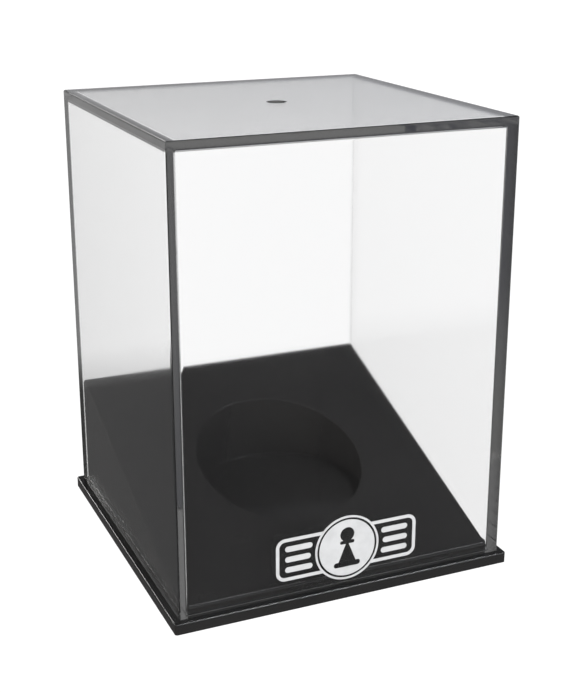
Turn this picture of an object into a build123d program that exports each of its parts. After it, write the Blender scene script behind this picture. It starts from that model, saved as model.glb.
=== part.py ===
from build123d import *

import os
from math import atan, cos, degrees, radians, sin, sqrt

# A display case for one small figure: a clear moulded cover that lifts straight up off a black
# base. The base's sloped top has a round pocket with a level floor, where the figure's own
# round base stands. The front faces -Y, and the origin is the middle of the base's underside.

# Clear cover, in millimetres
cover_width = 80.0  # outside, across the open rim
cover_height = 103.55
cover_lift_gap = 0.05  # air left under the rim, which touches the flange only at its high spots
cover_wall = 2.0
cover_top_inset = 0.31  # moulding draft on each side, from the rim to the top
cover_outer_round = 0.45
cover_inner_round = 0.8
cover_rim_round = 0.3
gate_width = 4.8  # shallow dish left at the moulding gate, in the middle of the top
gate_depth = 0.9

# Black base
flange_width = 83.0
flange_thickness = 2.6
flange_corner_round = 0.6
flange_edge_round = 0.25
base_wall = 2.0
riser_clearance = 0.25  # between the riser and the inside of the cover
riser_front_height = 4.4  # top of the front lip, from the ground
riser_back_height = 32.3  # the ridge, before it is rounded
ridge_round = 1.3
lip_round = 0.9
riser_side_round = 0.5

# Round pocket in the slope
pocket_radius = 20.65
pocket_floor_height = 10.1
pocket_rim_round = 0.2
pocket_floor_round = 0.25

# Printed emblem on the cover's front: a plaque with a pawn on a disc, between plain bars
ink_thickness = 0.08
emblem_height = 9.2  # its middle, from the cover's rim
plaque_width = 34.8
plaque_depth = 10.4
plaque_round = 2.2
plaque_line = 0.8
disc_radius = 7.9
disc_rim = 0.5
disc_gap = 0.5
bar_thickness = 1.35
bar_pitch = 2.55
bar_gap = 1.1  # between a bar's inner end and the disc
bar_reach = 15.2  # from the middle to a bar's outer end
pawn_head_radius = 1.75
pawn_head_height = 3.3
pawn_collar = (3.6, 0.9)
pawn_collar_height = 1.4
pawn_body = (4.6, 5.0)
pawn_body_angle = 68
pawn_body_height = -1.3
pawn_foot = (6.6, 1.3)
pawn_foot_height = -4.1

# Worked out from those
draft_angle = atan(cover_top_inset / cover_height)
rim_height = flange_thickness + cover_lift_gap
cover_inner_width = cover_width - 2 * cover_wall
riser_width = cover_inner_width - 2 * riser_clearance
slope_angle = atan((riser_back_height - riser_front_height) / riser_width)
block_height = riser_back_height + ridge_round  # tall enough to reach past the slope everywhere
gate_ball_radius = (gate_width**2 / 4 + gate_depth**2) / (2 * gate_depth)
gate_ball_height = rim_height + cover_height - gate_depth + gate_ball_radius
slope_plane = Plane(
    origin=(0, -riser_width / 2, riser_front_height),
    x_dir=(1, 0, 0),
    z_dir=(0, -sin(slope_angle), cos(slope_angle)),
)
print_plane = Plane(
    origin=(0, -cover_width / 2, rim_height),
    x_dir=(1, 0, 0),
    z_dir=(0, -cos(draft_angle), sin(draft_angle)),
)

os.makedirs("parts", exist_ok=True)


# Cover: one clear moulding, closed at the top and open below
with BuildPart() as cover:
    with BuildSketch(Plane.XY.offset(rim_height)):
        Rectangle(cover_width, cover_width)
    extrude(amount=cover_height, taper=degrees(draft_angle))
    outer_rows = cover.edges().group_by(Axis.Z)
    fillet(outer_rows[1] + outer_rows[2], cover_outer_round)

    with BuildSketch(Plane.XY.offset(rim_height)):
        Rectangle(cover_inner_width, cover_inner_width)
    extrude(
        amount=cover_height - cover_wall,
        taper=degrees(draft_angle),
        mode=Mode.SUBTRACT,
    )
    inner_rows = cover.edges(Select.LAST).group_by(Axis.Z)
    fillet(inner_rows[1] + inner_rows[2], cover_inner_round)

    rim = cover.faces().sort_by(Axis.Z)[0]
    fillet(rim.inner_wires()[0].edges(), cover_rim_round)

    with Locations((0, 0, gate_ball_height)):
        Sphere(gate_ball_radius, mode=Mode.SUBTRACT)
cover.part.label = "cover"


# The hollow under the base's skin, less the boss that carries the pocket's floor and wall
with BuildPart() as underside:
    with BuildSketch(Plane.XY):
        Rectangle(riser_width - 2 * base_wall, riser_width - 2 * base_wall)
    extrude(amount=block_height, taper=degrees(draft_angle))
    split(bisect_by=slope_plane.offset(-base_wall), keep=Keep.BOTTOM)
    with BuildSketch(Plane.XY.offset(pocket_floor_height - base_wall)):
        Circle(pocket_radius + base_wall)
    extrude(amount=block_height, mode=Mode.SUBTRACT)

# The wedge that stands inside the cover, rooted in the flange
with BuildPart() as riser:
    with BuildSketch(Plane.XY.offset(flange_thickness / 2)):
        Rectangle(riser_width, riser_width)
    extrude(amount=block_height, taper=degrees(draft_angle))
    split(bisect_by=slope_plane, keep=Keep.BOTTOM)
    slope = riser.faces().sort_by(Axis.Z)[-1]
    front_edge, ridge_edge = slope.edges().filter_by(Axis.X).sort_by(Axis.Z)
    fillet(ridge_edge, ridge_round)
    fillet(front_edge, lip_round)
    for side in (riser.faces().sort_by(Axis.X)[0], riser.faces().sort_by(Axis.X)[-1]):
        fillet(side.edges().sort_by(Axis.Z)[1:], riser_side_round)

# Base: flange, riser and pocket as one hollow moulding, open below
with BuildPart() as base:
    with BuildSketch(Plane.XY):
        RectangleRounded(flange_width, flange_width, flange_corner_round)
    extrude(amount=flange_thickness)
    fillet(base.faces().sort_by(Axis.Z)[-1].edges(), flange_edge_round)
    add(riser)
    add(underside, mode=Mode.SUBTRACT)

    with BuildSketch(Plane.XY.offset(pocket_floor_height)):
        Circle(pocket_radius)
    extrude(amount=block_height, mode=Mode.SUBTRACT)
    pocket_wall = base.faces(Select.LAST).filter_by(GeomType.CYLINDER)[0]
    fillet(pocket_wall.edges().filter_by(GeomType.ELLIPSE), pocket_rim_round)
    pocket_floor = base.faces().filter_by(Plane.XY).group_by(Axis.Z)[-1][0]
    fillet(pocket_floor.edges(), pocket_floor_round)
base.part.label = "base"


# Emblem: a thin layer of white ink on the outside of the cover's front wall
with BuildPart() as front_print:
    with BuildSketch(print_plane):
        with Locations((0, emblem_height)):
            RectangleRounded(plaque_width, plaque_depth, plaque_round)
            RectangleRounded(
                plaque_width - 2 * plaque_line,
                plaque_depth - 2 * plaque_line,
                plaque_round - plaque_line,
                mode=Mode.SUBTRACT,
            )
            Circle(disc_radius)
            Circle(disc_radius - disc_rim, mode=Mode.SUBTRACT)
            Circle(disc_radius - disc_rim - disc_gap)

        for row in (-1, 0, 1):
            bar_start = sqrt(disc_radius**2 - (row * bar_pitch) ** 2) + bar_gap
            bar_middle = (bar_start + bar_reach) / 2
            bar_y = emblem_height + row * bar_pitch
            with Locations((-bar_middle, bar_y), (bar_middle, bar_y)):
                SlotOverall(bar_reach - bar_start, bar_thickness)

        with Locations((0, emblem_height + pawn_head_height)):
            Circle(pawn_head_radius, mode=Mode.SUBTRACT)
        with Locations((0, emblem_height + pawn_collar_height)):
            SlotOverall(*pawn_collar, mode=Mode.SUBTRACT)
        with Locations((0, emblem_height + pawn_body_height)):
            Trapezoid(*pawn_body, pawn_body_angle, mode=Mode.SUBTRACT)
        with Locations((0, emblem_height + pawn_foot_height)):
            SlotOverall(*pawn_foot, mode=Mode.SUBTRACT)
    extrude(amount=ink_thickness)
front_print.part.label = "front_print"


export_step(cover.part, "parts/cover.step")
export_step(base.part, "parts/base.step")
export_step(front_print.part, "parts/front_print.step")
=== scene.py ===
import bmesh
import bpy
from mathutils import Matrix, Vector


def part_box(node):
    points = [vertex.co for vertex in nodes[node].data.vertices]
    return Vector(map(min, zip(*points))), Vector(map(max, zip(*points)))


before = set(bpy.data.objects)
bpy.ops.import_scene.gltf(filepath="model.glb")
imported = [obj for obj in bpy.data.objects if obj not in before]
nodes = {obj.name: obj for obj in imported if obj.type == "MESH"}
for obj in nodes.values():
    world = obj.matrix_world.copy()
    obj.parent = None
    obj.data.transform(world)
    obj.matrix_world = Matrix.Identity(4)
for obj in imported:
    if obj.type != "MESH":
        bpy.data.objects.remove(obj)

scene = bpy.context.scene
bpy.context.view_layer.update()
print("frame loaded:", ", ".join(sorted(nodes)))

# the case seen from its front left, a little above the cover, in metres
camera = {
    "place": (-0.11462, -0.27152, 0.14825),
    "look": (0.37691, 0.86750, -0.32464),
    "lens": 66.50,
    "sensor": 36.0,
    "clipStart": 0.01,
    "clipEnd": 60.0,
}


def makeCamera():
    data = bpy.data.cameras.new("camera")
    data.lens = camera["lens"]
    data.sensor_width = camera["sensor"]
    data.clip_start = camera["clipStart"]
    data.clip_end = camera["clipEnd"]
    obj = bpy.data.objects.new("camera", data)
    obj.location = camera["place"]
    obj.rotation_euler = Vector(camera["look"]).to_track_quat("-Z", "Y").to_euler()
    scene.collection.objects.link(obj)
    scene.camera = obj


makeCamera()
print("camera placed")


# small helpers for the node trees
def newMaterial(name):
    mat = bpy.data.materials.new(name)
    mat.use_nodes = True
    tree = mat.node_tree
    return mat, tree, tree.nodes["Principled BSDF"]


def addNode(tree, kind, **settings):
    node = tree.nodes.new(kind)
    for key, value in settings.items():
        setattr(node, key, value)
    return node


def join(tree, source, target):
    tree.links.new(source, target)


def noise(tree, coords, pattern):
    # a pattern is its scale per metre, its detail and how rough the detail is
    node = addNode(tree, "ShaderNodeTexNoise")
    for key, value in zip(("Scale", "Detail", "Roughness"), pattern):
        node.inputs[key].default_value = value
    join(tree, coords, node.inputs["Vector"])
    return node.outputs["Fac"]


def spread(tree, value, low, high, fromLow=0.0, fromHigh=1.0):
    node = addNode(tree, "ShaderNodeMapRange")
    node.inputs["From Min"].default_value = fromLow
    node.inputs["From Max"].default_value = fromHigh
    node.inputs["To Min"].default_value = low
    node.inputs["To Max"].default_value = high
    join(tree, value, node.inputs["Value"])
    return node.outputs[0]


def maths(tree, how, a, b):
    node = addNode(tree, "ShaderNodeMath", operation=how)
    for socket, item in zip(node.inputs, (a, b)):
        if isinstance(item, (int, float)):
            socket.default_value = item
        else:
            join(tree, item, socket)
    return node.outputs[0]


# where a Mix node keeps its colours, since its kinds of value share their names
mixColours = (6, 7)
mixResult = 2


def blendColour(tree, factor, a, b):
    node = addNode(tree, "ShaderNodeMix", data_type="RGBA")
    join(tree, factor, node.inputs["Factor"])
    for index, item in zip(mixColours, (a, b)):
        if isinstance(item, tuple):
            node.inputs[index].default_value = item
        else:
            join(tree, item, node.inputs[index])
    return node.outputs[mixResult]


def bump(tree, height, distance, strength):
    node = addNode(tree, "ShaderNodeBump")
    node.inputs["Distance"].default_value = distance
    node.inputs["Strength"].default_value = strength
    join(tree, height, node.inputs["Height"])
    return node.outputs[0]


def objectCoords(tree):
    return addNode(tree, "ShaderNodeTexCoord").outputs["Object"]


def splitAxes(tree, coords):
    node = addNode(tree, "ShaderNodeSeparateXYZ")
    join(tree, coords, node.inputs[0])
    return node.outputs


def give(obj, mat):
    if not obj.material_slots:
        obj.data.materials.append(mat)
    for slot in obj.material_slots:
        slot.material = mat


# clear moulded styrene
clear = {
    "tint": (0.993, 0.993, 0.994, 1),
    "ior": 1.44,
    "roughLow": 0.050,
    "roughHigh": 0.066,
    "marks": (45.0, 3.0, 0.6),    # faint handling marks
    "flow": (60.0, 1.0, 0.5),     # long waves left where the plastic flowed
    "flowDepth": 0.000002,
    "flowStrength": 0.05,
}


def clearPlastic():
    mat, tree, shader = newMaterial("clear_styrene")
    coords = objectCoords(tree)
    shader.inputs["Base Color"].default_value = clear["tint"]
    shader.inputs["Transmission Weight"].default_value = 1.0
    shader.inputs["IOR"].default_value = clear["ior"]
    marks = noise(tree, coords, clear["marks"])
    join(tree, spread(tree, marks, clear["roughLow"], clear["roughHigh"]), shader.inputs["Roughness"])
    waves = noise(tree, coords, clear["flow"])
    join(tree, bump(tree, waves, clear["flowDepth"], clear["flowStrength"]), shader.inputs["Normal"])
    # the lamps shine through the walls
    path = addNode(tree, "ShaderNodeLightPath")
    see = addNode(tree, "ShaderNodeBsdfTransparent")
    mix = addNode(tree, "ShaderNodeMixShader")
    join(tree, path.outputs["Is Shadow Ray"], mix.inputs[0])
    join(tree, shader.outputs[0], mix.inputs[1])
    join(tree, see.outputs[0], mix.inputs[2])
    join(tree, mix.outputs[0], tree.nodes["Material Output"].inputs["Surface"])
    return mat


# black moulded styrene of the base
black = {
    "dark": (0.0145, 0.0140, 0.0138, 1),
    "light": (0.0190, 0.0183, 0.0180, 1),
    "cloud": (38.0, 3.0, 0.55),    # soft shade changes in the moulding
    "smudge": (130.0, 2.0, 0.6),   # where it has been handled
    "grain": (2400.0, 2.0, 0.5),   # fine texture of the mould
    "middle": (0.3, 0.7),          # the noise values between which one end turns into the other
    "roughLow": 0.14,
    "roughHigh": 0.19,
    "grainDepth": 0.000001,
    "grainStrength": 0.06,
    "rubWidth": 0.0006,    # how far the rubbed rim of the flange reaches in
    "rubGloss": 0.55,      # its roughness against the rest
}


def rubbedRim(tree, coords):
    # 1 along the flange's top outer edge, 0 elsewhere
    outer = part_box("base")[1][0]
    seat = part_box("cover")[0][2]
    width = black["rubWidth"]
    axes = splitAxes(tree, coords)
    x = maths(tree, "ABSOLUTE", axes["X"], 0.0)
    y = maths(tree, "ABSOLUTE", axes["Y"], 0.0)
    reach = maths(tree, "MAXIMUM", x, y)
    side = spread(tree, reach, 0.0, 1.0, outer - width, outer - width / 2)
    high = spread(tree, axes["Z"], 0.0, 1.0, seat - width, seat - width / 2)
    return maths(tree, "MULTIPLY", side, high)


def blackPlastic():
    mat, tree, shader = newMaterial("black_styrene")
    coords = objectCoords(tree)
    cloud = spread(tree, noise(tree, coords, black["cloud"]), 0.0, 1.0, *black["middle"])
    join(tree, blendColour(tree, cloud, black["dark"], black["light"]), shader.inputs["Base Color"])
    smudge = noise(tree, coords, black["smudge"])
    rough = spread(tree, smudge, black["roughLow"], black["roughHigh"], *black["middle"])
    polish = spread(tree, rubbedRim(tree, coords), 1.0, black["rubGloss"])
    join(tree, maths(tree, "MULTIPLY", rough, polish), shader.inputs["Roughness"])
    grain = noise(tree, coords, black["grain"])
    join(tree, bump(tree, grain, black["grainDepth"], black["grainStrength"]), shader.inputs["Normal"])
    return mat


# screen-printed white ink, a little thin in places
ink = {
    "thin": (0.49, 0.49, 0.49, 1),
    "full": (0.55, 0.55, 0.55, 1),
    "blotch": (320.0, 4.0, 0.6),
    "thinning": (0.3, 0.6),        # the noise values between which thin ink turns full
    "weave": (2600.0, 2.0, 0.5),   # trace of the screen's mesh
    "roughLow": 0.45,
    "roughHigh": 0.62,
    "weaveDepth": 0.000008,
    "weaveStrength": 0.4,
}


def whiteInk():
    mat, tree, shader = newMaterial("white_ink")
    coords = objectCoords(tree)
    blotch = noise(tree, coords, ink["blotch"])
    hiding = spread(tree, blotch, 0.0, 1.0, *ink["thinning"])
    join(tree, blendColour(tree, hiding, ink["thin"], ink["full"]), shader.inputs["Base Color"])
    join(tree, spread(tree, blotch, ink["roughLow"], ink["roughHigh"]), shader.inputs["Roughness"])
    weave = noise(tree, coords, ink["weave"])
    join(tree, bump(tree, weave, ink["weaveDepth"], ink["weaveStrength"]), shader.inputs["Normal"])
    return mat


give(nodes["cover"], clearPlastic())
give(nodes["base"], blackPlastic())
give(nodes["front_print"], whiteInk())
print("materials given")

# pale floor that gives its own light, so that the case stands on white; to a mirrored ray it
# shows grey instead, a painted reflection for the cover's walls, with painted shade near the case
floor = {
    "size": 40.0,
    "white": (1.08, 1.08, 1.08, 1),
    "paintedNearShade": (0.095, 0.095, 0.095, 1),          # painted shade, mirrored once, beside and before the case
    "paintedFarReflection": (0.58, 0.58, 0.58, 1),              # painted reflection, mirrored once, well behind the case
    "paintedReflectionFade": (0.112, 0.15),                     # from near to far, along Y
    "paintedGuidedLeft": (0.050, 0.051, 0.060, 1),    # painted shade for the cover's edge bands, after a longer way inside a wall
    "paintedGuidedRight": (0.135, 0.135, 0.133, 1),
    "paintedGuidedFade": (-0.06, 0.01),               # from left to right, along X
}
# a ray's glossy depth is above these when it has been mirrored once, and twice
once = 0.5
twice = 1.5


def makeFloor():
    bm = bmesh.new()
    bmesh.ops.create_grid(bm, x_segments=1, y_segments=1, size=floor["size"] / 2)
    mesh = bpy.data.meshes.new("floor")
    bm.to_mesh(mesh)
    bm.free()
    obj = bpy.data.objects.new("floor", mesh)
    scene.collection.objects.link(obj)
    mat, tree, shader = newMaterial("floor_white")
    shader.inputs["Base Color"].default_value = (0, 0, 0, 1)
    shader.inputs["Roughness"].default_value = 1.0
    shader.inputs["Specular IOR Level"].default_value = 0.0
    shader.inputs["Emission Strength"].default_value = 1.0
    axes = splitAxes(tree, objectCoords(tree))
    gloss = addNode(tree, "ShaderNodeLightPath").outputs["Glossy Depth"]
    # painted reflection: mirrored rays find the floor dark near the case and lighter behind it
    behind = spread(tree, axes["Y"], 0, 1, *floor["paintedReflectionFade"])
    paintedMirrorTone = blendColour(tree, behind, floor["paintedNearShade"], floor["paintedFarReflection"])
    # painted shade for the cover's edge bands, bluish and darker to the left
    across = spread(tree, axes["X"], 0, 1, *floor["paintedGuidedFade"])
    paintedGuidedTone = blendColour(tree, across, floor["paintedGuidedLeft"], floor["paintedGuidedRight"])
    paintedReflections = blendColour(tree, maths(tree, "GREATER_THAN", gloss, twice), paintedMirrorTone, paintedGuidedTone)
    look = blendColour(tree, maths(tree, "GREATER_THAN", gloss, once), floor["white"], paintedReflections)
    join(tree, look, shader.inputs["Emission Color"])
    mesh.materials.append(mat)


makeFloor()


# the lamps light the base and the print, and leave the clear cover to the floor and the room
lampLit = bpy.data.collections.new("lamp_lit")
for key in ("base", "front_print"):
    lampLit.objects.link(nodes[key])

lamps = {
    "left_box": {"place": (-0.9, -0.5, 0.2), "size": (0.8, 0.4), "power": 6.5, "tint": (1.0, 0.97, 0.94)},
    "front_box": {"place": (0.2, -1.1, 0.2), "size": (0.9, 0.4), "power": 6.0, "tint": (0.93, 0.96, 1.0)},
    "top_strip": {"place": (0.40, -0.34, 0.95), "size": (0.5, 0.05), "power": 7.0, "tint": (0.93, 0.96, 1.0)},
    "back_strip": {"place": (-0.50, 1.0, 0.36), "size": (0.5, 0.12), "power": 4.0, "tint": (1.0, 0.99, 0.97)},
}
lampAim = Vector((0, 0, 0.04))


def makeLamp(name, lamp):
    data = bpy.data.lights.new(name, "AREA")
    data.shape = "RECTANGLE"
    data.size, data.size_y = lamp["size"]
    data.energy = lamp["power"]
    data.color = lamp["tint"]
    obj = bpy.data.objects.new(name, data)
    obj.location = lamp["place"]
    obj.rotation_euler = (lampAim - Vector(lamp["place"])).to_track_quat("-Z", "Y").to_euler()
    obj.light_linking.receiver_collection = lampLit
    scene.collection.objects.link(obj)


for name, lamp in lamps.items():
    makeLamp(name, lamp)


# dim room round the stage, lighter at the level of the table, cooler to the right
room = {
    "low": (0.54, 0.54, 0.54, 1),
    "high": (0.06, 0.06, 0.063, 1),
    "rise": (0.20, 0.45),                 # from low to high, along Z
    "warm": (1.0, 0.985, 0.97, 1),
    "cool": (0.95, 0.97, 1.03, 1),
    "turn": (-0.2, 0.7),                  # from warm to cool, along X
    "paintedGuidedTone": (0.160, 0.160, 0.160, 1),   # painted shade for the cover's edge bands, after a longer way inside a wall
}


def makeRoom():
    world = bpy.data.worlds.new("studio")
    scene.world = world
    world.use_nodes = True
    tree = world.node_tree
    axes = splitAxes(tree, addNode(tree, "ShaderNodeTexCoord").outputs["Generated"])
    height = spread(tree, axes["Z"], 0, 1, *room["rise"])
    level = blendColour(tree, height, room["low"], room["high"])
    across = spread(tree, axes["X"], 0, 1, *room["turn"])
    tint = blendColour(tree, across, room["warm"], room["cool"])
    product = addNode(tree, "ShaderNodeVectorMath", operation="MULTIPLY")
    join(tree, level, product.inputs[0])
    join(tree, tint, product.inputs[1])
    # painted shade for the cover's edge bands: rays mirrored more than once find the room a flat grey
    gloss = addNode(tree, "ShaderNodeLightPath").outputs["Glossy Depth"]
    paintedGuidedMask = maths(tree, "GREATER_THAN", gloss, twice)
    look = blendColour(tree, paintedGuidedMask, product.outputs[0], room["paintedGuidedTone"])
    join(tree, look, tree.nodes["Background"].inputs["Color"])


makeRoom()
scene.view_settings.view_transform = "Standard"

# light goes a long way inside the clear walls before it leaves at an edge
bounces = {"max_bounces": 24, "glossy_bounces": 16, "transmission_bounces": 16}
for key, value in bounces.items():
    setattr(scene.cycles, key, value)
print("stage lit")
